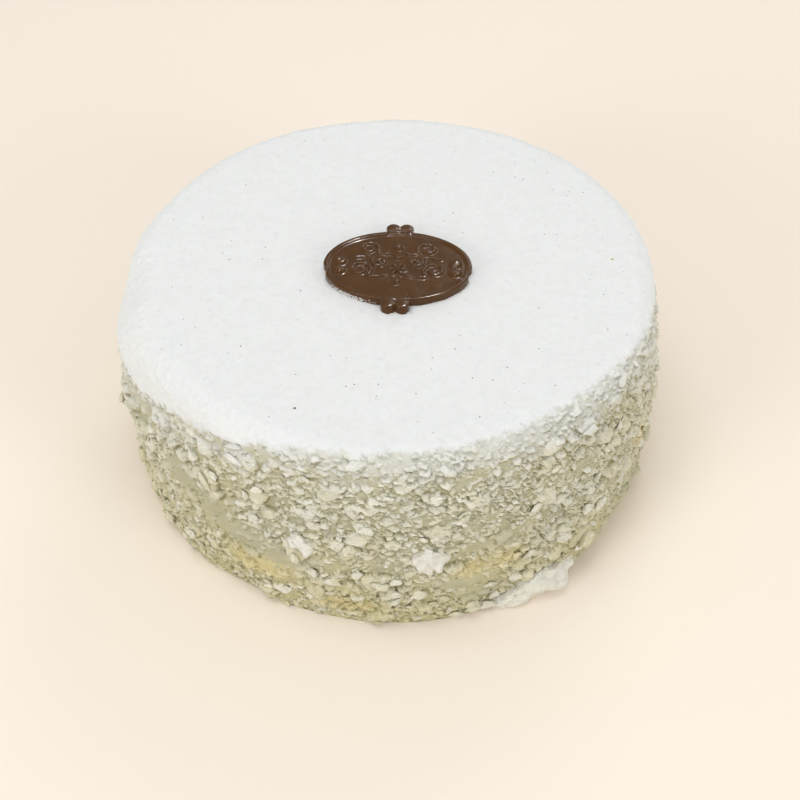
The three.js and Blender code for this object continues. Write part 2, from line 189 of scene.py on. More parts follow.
# a kind of crumb: how many, ranges of length, of thickness as a share of the breadth and of lift,
# the part of the height that they cover, how much icing sugar they stand, how finely each is
# meshed and how much paler than the rest they are
Kind = namedtuple("Kind", "count lengths flatness lifts levels sugar fineness paler")
CRUMB_KINDS = {
    "crumbs_coarse": Kind(420, (2.6, 4.6), (0.35, 0.5), (0.05, 0.3), (0, 1), 0.05, 2, 0.0),
    "crumbs_medium": Kind(1300, (1.7, 3.2), (0.35, 0.55), (0.05, 0.35), (0, 1), 0.2, 2, 0.0),
    "crumbs_fine": Kind(4200, (0.7, 1.6), (0.4, 0.7), (0.0, 0.45), (0, 1), 0.75, 1, 0.0),
    "crumbs_at_foot": Kind(700, (2.0, 4.6), (0.45, 0.7), (0.05, 0.45), (0, 0.15), 0.05, 2, 0.16),
}
LOWEST_CRUMB = WHOLE_DROP - 0.8  # mm down the rim and the side
CRUMB_BREADTHS = (0.42, 0.76)  # as shares of the length
CRUMB_LEAN = 0.28  # spread, in radians
CRUMB_SHAPES = 40  # different broken bits that each kind is made from
CRUMB_CUTS = 7  # flat cuts that break each bit
CUT_REACH = (0.40, 0.85)  # how far from its middle they are, as shares of its half size
CRUMB_SHADE = 0.55  # how strong the painted shade on a crumb is where it meets the coat
CRUMB_FADE = 0.8  # and how many mm above it that ends
LOOSE_LUMPS = 6  # one in so many of the construction's crumbs is a smooth broken bit
SHOWN_SHARE = 0.66  # of such a crumb that shows out of the coat

# specks of vanilla on the sugar: how many and how large, and the largest by place and size
SPECK_COUNT = 460
SPECK_SIZES = (0.16, 0.62)
SPECK_FIELD = 93.0
SPECK_GAP = 1.5  # to the plaque
MARKED_SPECKS = [
    (-31.8, -75.6, 1.1), (-12.5, -64.9, 0.6), (-52.2, -46.1, 0.65), (-33.1, -17.3, 0.7),
    (-4.5, -64.8, 0.6), (-21.0, -51.1, 0.5), (-60.5, 0.6, 0.5), (76.2, -19.8, 0.5),
    (50.6, -47.9, 0.5), (13.5, -57.8, 0.45),
]
ZEST_SPOT = (81.8, 0.1, 1.2)
VANILLA_COLOURS = ((0.05, 0.045, 0.04), (0.16, 0.15, 0.14))
ZEST_COLOURS = ((0.42, 0.46, 0.12), (0.55, 0.58, 0.2))

# ---- the plaque -----------------------------------------------------------------------------

PLAQUE_MIDDLE = (2.0, -7.2)
PLAQUE_TURN = math.radians(-2.8)
PLAQUE_HALF_WIDTH = 27.2
PLAQUE_HALF_DEPTH = 19.4
PLAQUE_THICKNESS = 3.6
PLAQUE_BOTTOM = CAKE_HEIGHT + 0.3
LOBE_RADIUS = 2.7
LOBE_RISE = 0.5
LOBE_OUT = 1.2  # a point this far inside the edge and on the oval is beside a lobe
LOBES = [(x, y) for x in (-2.5, 2.5) for y in (-20.9, 20.9)]
NOTCH_LEVEL = -3.0
NOTCH_DEPTH = 1.7
NOTCH_HALF_ANGLE = math.radians(6)
EDGE_ROUND = 0.5
RIM_WIDTH = 1.1
FACE_SUNK = 0.6
CREASE = 0.35  # depth and width of the crease between the oval and a lobe
BOSS_RADIUS = 2.5
BUTTON_RISE = 1.1
BOSS_X = 21.2
BOSS_YS = (1.7, -3.4)
RIDGE_RADIUS = 0.75
# scrolls, mirrored left and right: x, y, size, turns, start angle, where the tail begins
SCROLLS = [
    (13.6, -2.6, 4.3, 1.3, 215, 3.6, -5.6),
    (6.6, 1.8, 2.7, 1.1, 20, 15.4, 3.8),
    (10.8, 9.2, 3.7, 1.25, 200, 3.4, 6.4),
]
ROSETTE_Y = -2.4
PETALS = 6
PETAL_OUT = 2.3
PETAL_LENGTH = 1.5
PETAL_WIDTH = 0.8
BEADS = [(0, ROSETTE_Y, 1.0), (0, 4.4, 1.2), (0, 10.4, 1.9), (0, -9.4, 1.3)]
POWDER_ANGLE = math.radians(222)  # the side of the plaque's wall that icing sugar has caught
POWDER_WIDTH = math.radians(34)
PLAQUE_SEGMENTS = 420
PLAQUE_ROWS = 74

# ---- colours --------------------------------------------------------------------------------

SUGAR_WHITE = (0.79, 0.804, 0.80)
SUGAR_SHADE = (0.765, 0.778, 0.773)
SUGAR_FLECK = (0.66, 0.67, 0.65)
SUGAR_SMUDGE = (0.67, 0.69, 0.69)
CREAM = (0.455, 0.44, 0.305)
MERINGUE_IVORY = (0.695, 0.67, 0.525)
MERINGUE_WHITE = (0.85, 0.835, 0.745)
# olive of the painted shade in crevices, in cracks and under crumbs
MERINGUE_PAINTED_SHADE = (0.30, 0.278, 0.135)
GREYISH = (0.70, 0.70, 0.63)
YELLOWISH = (0.645, 0.575, 0.305)
GOLDEN = (0.74, 0.62, 0.29)
CHALK = (0.84, 0.825, 0.775)
CHOCOLATE_DARK = (0.070, 0.028, 0.006)
CHOCOLATE_LIGHT = (0.090, 0.038, 0.009)
CHOCOLATE_POWDER = (0.72, 0.71, 0.68)
FLOOR_COLOURS = ((0.925, 0.835, 0.73), (0.935, 0.845, 0.74))
CRACK_WANDER = 0.7  # how far the cracks of the meringue wander, as a share of its grains
# how matt icing sugar and meringue are, and how softly light goes through them
POWDERY = {
    "Roughness": 0.9,
    "Specular IOR Level": 0.2,
    "Subsurface Weight": 0.15,
    "Subsurface Radius": (1.0, 0.85, 0.55),
    "Subsurface Scale": 1.2 * MM,
}

# ---- light and camera, in metres ------------------------------------------------------------

# lamps: place, the height over the cake's middle that they aim at, size and power
LAMPS = {
    "overhead": ((-0.25, -0.15, 1.5), 0.05, 0.8, 6.0),
    "key": ((-0.98, -0.95, 0.62), 0.05, 0.6, 5.7),
    "fill": ((1.0, -0.9, 0.62), 0.05, 0.6, 5.0),
    "behind": ((0.45, 1.05, 0.95), 0.05, 0.7, 3.0),
    "glint": ((0.22, 0.48, 1.3), 0.09, 0.06, 24.0),
}
GLOSS_LAMP = "glint"
WORLD_COLOUR = (1.0, 0.99, 0.97, 1)
WORLD_STRENGTH = 0.54
FLOOR_HALF_SIZE = 3.0
CAMERA_PLACE = (0.002748, -0.345706, 0.372006)
CAMERA_TILT = 43.705  # degrees from straight down
CAMERA_ROLL = 0.168
CAMERA_LENS = 54.0


# ---- helpers --------------------------------------------------------------------------------

FAR = 9.0  # further than any distance that is looked for
WORD = 0xFFFFFFFF  # the mixing below is of 32-bit numbers
MIX_STEPS = (73856093, 19349663, 83492791)  # large odd numbers, which spread neighbours apart
MIX_SEED = 2654435761
MIX_ROUNDS = [(15, 2246822519), (13, 3266489917), (16, 1)]  # shift and factor of each round


def draw(index, stream):
    """The construction's repeatable draw between 0 and 1."""
    wave = np.sin(np.asarray(index) * 12.9898 + stream * 78.233) * 43758.5453
    return wave - np.floor(wave)


def lattice(cells, seed):
    """A well mixed value between 0 and 1 for each corner of a cubic grid."""
    i, j, k = (cells[:, axis] * step for axis, step in enumerate(MIX_STEPS))
    mixed = (i ^ j ^ k ^ (seed * MIX_SEED)) & WORD
    for shift, factor in MIX_ROUNDS:
        mixed = ((mixed ^ (mixed >> shift)) * factor) & WORD
    return mixed / WORD


def noise(points, size, seed):
    """Smooth noise between -1 and 1 whose lumps are `size` across, at an array of points."""
    scaled = np.asarray(points, float) / size
    cell = np.floor(scaled).astype(np.int64)
    share = scaled - cell
    share = share * share * share * (share * (share * 6 - 15) + 10)
    total = np.zeros(len(scaled))
    for corner in range(8):
        steps = (corner & 1, (corner >> 1) & 1, (corner >> 2) & 1)
        weight = 1.0
        for axis, step in enumerate(steps):
            weight = weight * (share[:, axis] if step else 1 - share[:, axis])
        total += weight * lattice(cell + steps, seed)
    return 2 * total - 1


def rough(points, *layers):
    """Sum of noises, each given by its depth, the size of its lumps and its stream."""
    return sum(depth * noise(points, size, SEED + stream) for depth, size, stream in layers)


def cobbles(points, size, seed):
    """Rounded lumps of about `size`: 1 in the middle of each and 0 in the creases between."""
    scaled = np.asarray(points, float) / size
    cell = np.floor(scaled).astype(np.int64)
    nearest = np.full(len(scaled), FAR)
    second = np.full(len(scaled), FAR)
    for corner in range(27):
        there = cell + (corner % 3 - 1, corner // 3 % 3 - 1, corner // 9 - 1)
        inside = np.stack([lattice(there, seed + axis) for axis in range(3)], 1)
        distance = np.linalg.norm(there + inside - scaled, axis=1)
        second = np.minimum(second, np.maximum(nearest, distance))
        nearest = np.minimum(nearest, distance)
    return np.clip((second - nearest) / 0.6, 0, 1)


def smooth(low, high, value):
    """0 below `low`, 1 above `high` and an eased step between."""
    share = np.clip((value - low) / (high - low), 0, 1)
    return share * share * (3 - 2 * share)


def within(ends, share):
    """The value at a share of the way between two ends."""
    return ends[0] + (ends[1] - ends[0]) * share


def turned(first, second, turn):
    """Two axes turned in their own plane, or two coordinates as read along turned axes."""
    c, s = np.cos(turn), np.sin(turn)
    return first * c + second * s, second * c - first * s


def turn_between(a, b):
    """The signed turn from b to a, in radians."""
    return np.arctan2(np.sin(a - b), np.cos(a - b))


def off_spot(azimuth, height, spot):
    """Square of how far places are from an oval spot's middle, 1 being its edge."""
    spot_azimuth, spot_height, reach_along, reach_up = spot
    along = turn_between(azimuth, math.radians(spot_azimuth)) * BELLY_RADIUS / reach_along
    return along**2 + ((height - spot_height) / reach_up) ** 2


def patches(azimuth, height, spots):
    """1 inside any of the oval patches, falling to 0 round them."""
    return np.max([np.exp(-(off_spot(azimuth, height, spot) ** 1.5)) for spot in spots], axis=0)


def at_azimuth(azimuth, radius, height):
    """Points at an azimuth, a distance from the cake's axis and a height."""
    return np.stack([radius * np.sin(azimuth), -radius * np.cos(azimuth), height + 0 * azimuth], -1)


def make_mesh(name, points, triangles, masks=None):
    """A smooth-shaded mesh object from points in mm."""
    mesh = bpy.data.meshes.new(name)
    mesh.from_pydata((points * MM).tolist(), [], triangles.tolist(), shade_flat=False)
    for mask, values in (masks or {}).items():
        layer = mesh.attributes.new(mask, "FLOAT", "POINT")
        layer.data.foreach_set("value", np.asarray(values, np.float32))
    mesh.validate()
    return put_in_scene(bpy.data.objects.new(name, mesh))


def put_in_scene(thing):
    """Links an object to the scene and gives it back."""
    bpy.context.scene.collection.objects.link(thing)
    return thing


def ball(subdivisions):
    """Points and triangles of a unit ball."""
    shape = bmesh.new()
    bmesh.ops.create_icosphere(shape, subdivisions=subdivisions, radius=1)
    shape.verts.index_update()
    points = np.array([corner.co for corner in shape.verts])
    triangles = np.array([[corner.index for corner in face.verts] for face in shape.faces])
    shape.free()
    return points, triangles


def repeated(triangles, count, each):
    """Triangles of `count` like shapes that follow each other, `each` points to a shape."""
    return (triangles[None] + (np.arange(count) * each)[:, None, None]).reshape(-1, 3)


def finish_piece(piece, material, slot, *nodes):
    """Gives a piece its material, ties it to the cake's one body and hides the named parts of the
    construction; the record slot is not used.
    """
    piece.data.materials.append(material)
    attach(piece, "root")
    if nodes:
        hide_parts(*nodes)


# ---- the form of the cake -------------------------------------------------------------------


def swell(azimuth, height):
    """How far the outline swells at an azimuth and a height."""
    push = sum(depth * np.sin(count * azimuth + start) for count, depth, start in OUTLINE_WAVES)
    for *spot, spot_push in SWELLINGS:
        push = push + spot_push * np.exp(-off_spot(azimuth, height, spot))
    return push


def profile(drop):
    """Radius, height and outward slope of the plain profile, `drop` mm down from the flat top.

    A negative drop lies on the flat top.
    """
    angle = np.clip(drop / RIM_ROUND, 0, math.pi / 2)
    on_side = drop > RIM_ARC
    rim_height = SHOULDER_HEIGHT + RIM_ROUND * np.cos(angle)
    height = np.where(on_side, SHOULDER_HEIGHT - (drop - RIM_ARC), rim_height)
    above = height > BELLY_HEIGHT
    end = np.where(above, SHOULDER_HEIGHT, 0.0)
    end_radius = np.where(above, SHOULDER_RADIUS, FOOT_RADIUS)
    share = (height - BELLY_HEIGHT) / (end - BELLY_HEIGHT)
    side = BELLY_RADIUS - (BELLY_RADIUS - end_radius) * share * share
    rim = SHOULDER_RADIUS - RIM_ROUND * (1 - np.sin(angle)) + np.minimum(drop, 0)
    return np.where(on_side, side, rim), height, angle


def surface(azimuth, drop, lift=0.0):
    """Points of the cake's form, moved out along its slope by `lift`."""
    radius, height, angle = profile(drop)
    radius = radius + smooth(-30, 0, drop) * swell(azimuth, height) + lift * np.sin(angle)
    return at_azimuth(azimuth, radius, height + lift * np.cos(angle))


def drop_at(height):
    """How far down the rim and the side a height is."""
    on_rim = RIM_ROUND * np.arccos(np.clip((height - SHOULDER_HEIGHT) / RIM_ROUND, 0, 1))
    return np.where(height > SHOULDER_HEIGHT, on_rim, WHOLE_DROP - height)


def frames_on_side(azimuth, drop):
    """Unit vectors along the side, up it and out of it, as arrays."""
    angle = profile(drop)[2]
    along = np.stack([np.cos(azimuth), np.sin(azimuth), 0 * azimuth], -1)
    out = at_azimuth(azimuth, np.sin(angle), np.cos(angle))
    return along, np.cross(out, along), out


def sugar_edge(azimuth):
    """How far down the rim the thick icing sugar reaches."""
    edge = SUGAR_EDGE + 0 * azimuth
    for middle, further, width in SUGAR_SPILLS:
        off = np.degrees(turn_between(azimuth, math.radians(middle))) / width
        edge = edge + further * np.exp(-(off**2))
    return edge


def fallen(azimuth, drop, points, further, fade, rags):
    """1 above a ragged line `further` mm below the sugar's edge, fading to 0 over `fade` mm."""
    below = drop - sugar_edge(azimuth) - further + rough(points, *rags)
    return 1 - smooth(-0.5 * fade, 0.5 * fade, below)


def top_waves(points):
    """Soft waves of the smooth icing sugar."""
    return rough(points, (0.30, 34, 7), (0.16, 12, 8), (0.05, 3.2, 9))


def sugar_top(azimuth, drop):
    """Points of the icing sugar on the flat top."""
    return surface(azimuth, drop, top_waves(surface(azimuth, drop)))


# ---- the plaque's form ----------------------------------------------------------------------


def ellipse_reach(angle):
    """Distance from the plaque's middle to its oval."""
    return 1 / np.hypot(np.cos(angle) / PLAQUE_HALF_WIDTH, np.sin(angle) / PLAQUE_HALF_DEPTH)


def plaque_reach(angle):
    """Distance from the plaque's middle to its edge: the oval, its end notches and its lobes."""
    reach = ellipse_reach(angle)
    for side in (-1, 1):
        notch = math.atan2(NOTCH_LEVEL, side * PLAQUE_HALF_WIDTH)
        off = np.abs(turn_between(angle, notch))
        reach = reach - NOTCH_DEPTH * np.maximum(0, 1 - off / NOTCH_HALF_ANGLE)
    for x, y in LOBES:
        along, off = turned(x, y, angle)
        hit = (along > 0) & (np.abs(off) < LOBE_RADIUS)
        half = np.sqrt(np.maximum(LOBE_RADIUS**2 - off**2, 0))
        reach = np.where(hit, np.maximum(reach, along + half), reach)
    return reach


def scroll_points(spec):
    """Points along one scroll, from its tail into its spiral."""
    x, y, size, turns, start, tail_x, tail_y = spec
    share = np.linspace(0, 1, 60)
    angle = math.radians(start) - share * turns * FULL_TURN
    reach = size * (1 - 0.75 * share)
    spiral = np.stack([x + reach * np.cos(angle), y + reach * np.sin(angle)], 1)
    # the tail bends into the spiral's own direction where they meet
    heading = spiral[0] - spiral[1]
    heading = heading / np.linalg.norm(heading)
    tail = np.array([tail_x, tail_y])
    bend = spiral[0] + heading * 0.5 * np.linalg.norm(spiral[0] - tail)
    ease = np.linspace(0, 1, 24)[:, None]
    curve = (1 - ease) ** 2 * tail + 2 * ease * (1 - ease) * bend + ease**2 * spiral[0]
    return np.concatenate([curve[:-1], spiral])


def button(x, y, at_x, at_y, length, width, turn=0.0):
    """Height of a low rounded button over the face, 0 outside it."""
    along, across = turned(x - at_x, y - at_y, turn)
    return BUTTON_RISE * np.sqrt(np.maximum(0, 1 - (along / length) ** 2 - (across / width) ** 2))


def face_relief(x, y):
    """Height of the moulded ornament over the plaque's face."""
    buttons = [(bead_x, bead_y, radius, radius) for bead_x, bead_y, radius in BEADS]
    for petal in range(PETALS):
        turn = petal / PETALS * FULL_TURN
        petal_y = ROSETTE_Y + PETAL_OUT * math.sin(turn)
        buttons.append((PETAL_OUT * math.cos(turn), petal_y, PETAL_LENGTH, PETAL_WIDTH, turn))
    for mirror in (-1, 1):
        for boss_y in BOSS_YS:
            buttons.append((mirror * BOSS_X, boss_y, BOSS_RADIUS, BOSS_RADIUS))
    relief = np.max([button(x, y, *spec) for spec in buttons], axis=0)
    for mirror in (-1, 1):
        for spec in SCROLLS:
            nearest = np.full(x.shape, FAR)
            for px, py in scroll_points(spec) * (mirror, 1):
                nearest = np.minimum(nearest, np.hypot(x - px, y - py))
            relief = np.maximum(relief, np.sqrt(np.maximum(0, RIDGE_RADIUS**2 - nearest**2)))
    melt = rough(np.stack([x, y, 0 * x], -1).reshape(-1, 3), (0.28, 1.1, 104))
    return relief * (1 + melt.reshape(x.shape))


def plaque_top(x, y, angle, reach):
    """Height of the plaque's upper side."""
    inside = ellipse_reach(angle) - reach
    face = smooth(EDGE_ROUND + RIM_WIDTH, EDGE_ROUND + RIM_WIDTH + FACE_SUNK, inside)
    height = PLAQUE_THICKNESS - FACE_SUNK * face
    height = height + face * face_relief(x, y)
    for lobe_x, lobe_y in LOBES:
        off = np.hypot(x - lobe_x, y - lobe_y) / LOBE_RADIUS
        dome = np.sqrt(np.maximum(0, 1 - off**2)) * smooth(0.6, -0.6, inside)
        height = height + LOBE_RISE * dome
    by_lobe = plaque_reach(angle) - reach > LOBE_OUT
    return height - CREASE * np.exp(-((inside / CREASE) ** 2)) * by_lobe


def to_cake(points):
    """Moves points of the plaque's own frame to its place on the cake."""
    x, y = turned(points[:, 0], points[:, 1], -PLAQUE_TURN)
    return np.stack([x, y, points[:, 2]], 1) + (*PLAQUE_MIDDLE, PLAQUE_BOTTOM)


def beyond_plaque(x, y):
    """How far points of the cake's top lie outside the plaque's edge, negative under it."""
    x, y = turned(x - PLAQUE_MIDDLE[0], y - PLAQUE_MIDDLE[1], PLAQUE_TURN)
    return np.hypot(x, y) - plaque_reach(np.arctan2(y, x))


# ---- materials ------------------------------------------------------------------------------


class Value:
    """One output of a node. A sum or a product of values is a node as well."""

    def __init__(self, nodes, node, output):
        self.nodes = nodes
        self.socket = node.outputs[output]

    def __add__(self, other):
        return self.nodes.combine("ADD", self, other)

    def __mul__(self, other):
        return self.nodes.combine("MULTIPLY", self, other)


class Nodes:
    """Small helper that builds a material's nodes."""

    def __init__(self, name):
        self.material = bpy.data.materials.new(name)
        self.material.use_nodes = True
        self.tree = self.material.node_tree
        self.tree.nodes.clear()
        self.shader = self.tree.nodes.new("ShaderNodeBsdfPrincipled")
        out = self.tree.nodes.new("ShaderNodeOutputMaterial")
        self.fill(out, "Surface", Value(self, self.shader, "BSDF"))
        self.place = self.add("TexCoord", {}, "Object")

    def add(self, kind, inputs, output=0, **settings):
        """Adds a node, fills its inputs and gives one of its outputs."""
        node = self.tree.nodes.new("ShaderNode" + kind)
        for key, value in settings.items():
            setattr(node, key, value)
        for entry, value in inputs.items():
            self.fill(node, entry, value)
        return Value(self, node, output)

    def fill(self, node, entry, value):
        """Joins an input to another node's output, or sets it to a constant."""
        socket = node.inputs[entry]
        if isinstance(value, Value):
            self.tree.links.new(value.socket, socket)
        elif socket.type == "RGBA":
            socket.default_value = (*value, 1)
        else:
            socket.default_value = value

    def mask(self, name):
        """A value that the mesh holds for each of its points."""
        return self.add("Attribute", {}, "Fac", attribute_name=name)

    def grain(self, size, detail=2.0, roughness=0.5, output="Fac"):
        """Noise whose lumps are `size` mm across, over the object's own coordinates."""
        inputs = {"Scale": 1 / (size * MM), "Detail": detail, "Roughness": roughness}
        return self.add("TexNoise", {"Vector": self.place, **inputs}, output)

    def span(self, value, low, high, to_low=0.0, to_high=1.0):
        """Maps a value from low..high to to_low..to_high, held at the ends."""
        inputs = {"From Min": low, "From Max": high, "To Min": to_low, "To Max": to_high}
        return self.add("MapRange", {"Value": value, **inputs}, "Result")

    def combine(self, operation, first, second):
        """Arithmetic on two values."""
        return self.add("Math", {0: first, 1: second}, operation=operation)

    def bend(self, operation, *vectors):
        """Vector arithmetic."""
        return self.add("VectorMath", dict(enumerate(vectors)), "Vector", operation=operation)

    def upright(self, vector):
        """The part of a vector that points up."""
        return self.add("SeparateXYZ", {"Vector": vector}, "Z")

    def blend(self, share, first, second):
        """Mixes two colours."""
        return self.add("Mix", {0: share, 6: first, 7: second}, 2, data_type="RGBA")

    def bump(self, height, height_mm, strength, under=None):
        """Raises the surface by up to height_mm, on top of another bump if one is given."""
        inputs = {"Height": height, "Distance": height_mm * MM, "Strength": strength}
        if under:
            inputs["Normal"] = under
        normal = self.add("Bump", inputs, "Normal")
        self.fill(self.shader, "Normal", normal)
        return normal

    def finish(self, colour, values):
        """Fills the shader and gives the material."""
        self.fill(self.shader, "Base Color", colour)
        for entry, value in values.items():
            self.fill(self.shader, entry, value)
        return self.material


def crackle(nodes, size, flat):
    """Grains of about `size` mm, `flat` times as wide as tall: distance to a crack, and a tone."""
    wander = nodes.bend("SUBTRACT", nodes.grain(size / 0.8, 3, output="Color"), (0.5, 0.5, 0.5))
    shifted = nodes.bend("MULTIPLY_ADD", wander, (CRACK_WANDER * size * MM,) * 3, nodes.place)
    inputs = {"Vector": nodes.bend("MULTIPLY", shifted, (1, 1, flat)), "Scale": 1 / (size * MM)}
    edge = nodes.add("TexVoronoi", inputs, "Distance", feature="DISTANCE_TO_EDGE")
    cell = nodes.add("TexVoronoi", inputs, "Color", feature="F1")
    return edge, nodes.add("SeparateColor", {"Color": cell}, "Red")


def dusting(nodes, sugar):
    """Icing sugar: full under the sugar mask, and a speckle on up-facing grains near it."""
    facing = nodes.upright(nodes.add("NewGeometry", {}, "Normal"))
    lying = nodes.span(facing, 0.0, 0.9, 0.0, 0.35)
    reach = sugar + lying + nodes.grain(0.8, 3, 0.6) * 0.7
    dusted = nodes.span(reach, 0.62, 0.98) * nodes.span(sugar, 0.01, 0.10)
    return dusted * nodes.span(sugar, 0.35, 0.9, 0.5, 1.0)


def sugar_colour(nodes):
    """White with a faint powdery mottle."""
    white = nodes.blend(nodes.span(nodes.grain(5, 4, 0.65), 0.35, 0.7), SUGAR_SHADE, SUGAR_WHITE)
    flecks = nodes.span(nodes.grain(0.9, 3, 0.7), 0.58, 0.74, 0.0, 0.36)
    white = nodes.blend(flecks, white, SUGAR_FLECK)
    smudges = nodes.span(nodes.grain(2.4, 3, 0.7), 0.50, 0.74, 0.0, 0.46)
    return nodes.blend(smudges, white, SUGAR_SMUDGE)


def powdery(nodes, colour, under=None):
    """A matt material with soft and fine grain."""
    soft = nodes.bump(nodes.grain(1.6, 4, 0.6), 0.16, 0.5, under)
    nodes.bump(nodes.grain(0.45, 2, 0.6), 0.06, 0.5, soft)
    return nodes.finish(colour, POWDERY)


def sugar_material():
    """Smooth icing sugar."""
    nodes = Nodes("icing_sugar")
    return powdery(nodes, sugar_colour(nodes))


def meringue_material(name, chalky=0.0):
    """Crushed meringue: matt and chalky flakes, with painted shade in the thin cracks between them
    and in the crevices.
    """
    nodes = Nodes(name)
    coated = 1.0 - chalky
    edge, grain_tone = crackle(nodes, 2.6, 2.6)
    fine_edge, fine_tone = crackle(nodes, 1.2, 1.9)
    tone = nodes.mask("tone") * 0.88 + (grain_tone + fine_tone) * 0.06
    sugar, bare = nodes.mask("sugar"), nodes.mask("bare")
    # from cream through ivory to white by tone, and chalk for the larger pieces
    crumb = nodes.blend(nodes.span(tone, 0.12, 0.48), CREAM, MERINGUE_IVORY)
    crumb = nodes.blend(nodes.span(tone, 0.48, 0.88), crumb, MERINGUE_WHITE)
    crumb = nodes.blend(chalky, crumb, CHALK)
    # grey and yellow clouds, and yellow painted reflected light that is stronger near the foot;
    # weaker on white crumbs
    haze = nodes.span(nodes.grain(19, 3, 0.55), 0.42, 0.66, 0.0, 0.5) * nodes.span(tone, 0.2, 0.5)
    crumb = nodes.blend(haze * coated, crumb, GREYISH)
    # painted warm reflected light, strongest at the foot and gone 46 mm up
    low = nodes.span(nodes.upright(nodes.place), 2 * MM, 46 * MM, 0.55, 0.0)
    yellow_clouds_and_reflection = nodes.span(nodes.grain(24, 3, 0.5), 0.40, 0.68, 0.0, 0.30) + low
    yellow_clouds_and_reflection = yellow_clouds_and_reflection * coated * nodes.span(tone, 0.76, 0.92, 1.0, 0.3)
    crumb = nodes.blend(yellow_clouds_and_reflection, crumb, YELLOWISH)
    crumb = nodes.blend(bare * 0.8, crumb, CREAM)
    crumb = nodes.blend(nodes.mask("golden") * 0.6, crumb, GOLDEN)
    # painted shade in the cracks between the grains, here and there
    presence = nodes.span(nodes.grain(4.2, 3, 0.6), 0.46, 0.62)
    crack_shade = nodes.span(edge, 0.0, 0.09, 0.8, 0.0) * presence
    fine_crack_shade = nodes.span(fine_edge, 0.0, 0.11, 0.6, 0.0) * presence
    even = nodes.span(bare, 0.0, 0.8, 1.0, 0.25)
    crack_shade = nodes.combine("MAXIMUM", crack_shade, fine_crack_shade) * even
    # painted shade: crevices and undersides that the mesh holds, and the cracks
    depth = nodes.combine("MAXIMUM", nodes.mask("painted_shade"), crack_shade * 0.62)
    crumb = nodes.blend(depth * (1.0 - 0.85 * chalky), crumb, MERINGUE_PAINTED_SHADE)
    colour = nodes.blend(dusting(nodes, sugar), crumb, sugar_colour(nodes))
    relief = nodes.span(edge, 0.0, 0.26) + nodes.span(fine_edge, 0.0, 0.30) * 0.6
    relief = relief + nodes.grain(0.7, 3, 0.6) * 0.8
    relief = relief * even * nodes.span(sugar, 0.5, 1.0, 1.0, 0.0)
    return powdery(nodes, colour, nodes.bump(relief, 0.22, 0.8))


def chocolate_material():
    """Moulded dark chocolate with a soft uneven gloss."""
    nodes = Nodes("chocolate")
    cloud = nodes.span(nodes.grain(7, 4, 0.6), 0.3, 0.7)
    brown = nodes.blend(cloud, CHOCOLATE_DARK, CHOCOLATE_LIGHT)
    speckle = nodes.grain(0.55, 2, 0.6) + nodes.mask("powder") * 0.42
    colour = nodes.blend(nodes.span(speckle, 0.80, 0.90, 0.0, 0.85), brown, CHOCOLATE_POWDER)
    wavy = nodes.bump(nodes.grain(5, 2, 0.5), 0.10, 0.5)
    nodes.bump(nodes.grain(0.6, 3, 0.6), 0.03, 0.5, wavy)
    return nodes.finish(colour, {
        "Roughness": nodes.span(nodes.grain(4, 4, 0.6), 0.3, 0.75, 0.10, 0.24),
        "Specular IOR Level": 0.27,
        "IOR": 1.46,
        "Subsurface Weight": 0.05,
        "Subsurface Radius": (1.0, 0.5, 0.3),
        "Subsurface Scale": 0.6 * MM,
    })


def speck_material(name, dark, light):
    """Tiny flecks that differ a little in tone."""
    nodes = Nodes(name)
    colour = nodes.blend(nodes.span(nodes.grain(6, 1), 0.3, 0.7), dark, light)
    return nodes.finish(colour, {"Roughness": 0.7, "Specular IOR Level": 0.3})


# ---- the coat and the top -------------------------------------------------------------------


